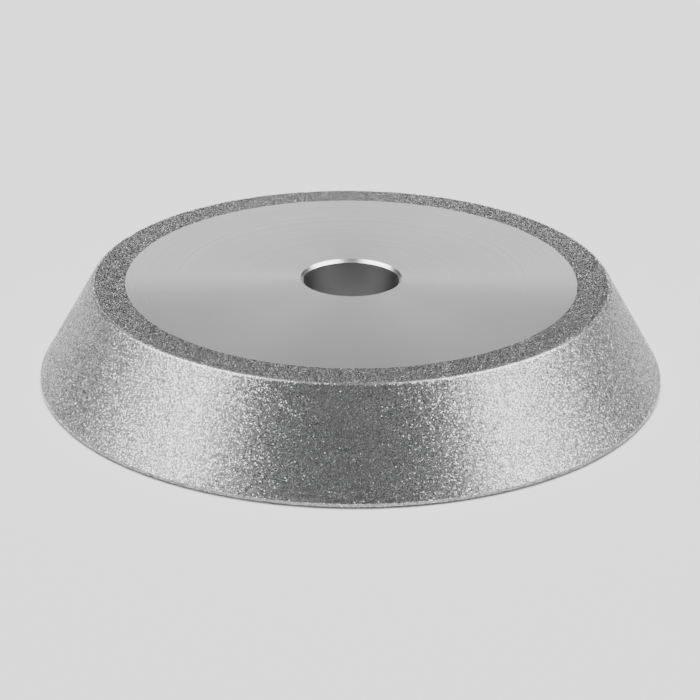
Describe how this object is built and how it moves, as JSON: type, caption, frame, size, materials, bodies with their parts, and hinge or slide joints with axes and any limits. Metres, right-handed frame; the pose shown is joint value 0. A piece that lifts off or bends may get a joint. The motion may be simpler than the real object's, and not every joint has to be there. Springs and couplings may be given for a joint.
{
  "type": "diamond grinding wheel",
  "caption": "Flat-topped conical grinding wheel: turned metal core with a plain bore, its flank and outer face ring plated with a layer of diamond grit.",
  "frame": {"origin": "centre of the bore at the large flat back face, which is the lowest plane of the wheel", "axes": "+Z along the bore, from the large back face towards the small face with the grit ring; X and Y are free, because the wheel is round"},
  "size_m": [0.083, 0.083, 0.0132],
  "materials": {
    "core_steel": "satin",
    "nickel_plate": "satin",
    "diamond_grit": "gloss"
  },
  "bodies": {
    "root": {"wheel_core": "core_steel", "nickel_bond": "nickel_plate", "grit_land": "diamond_grit", "grit_flank": "diamond_grit", "grit_face": "diamond_grit"}
  },
  "joints": []
}
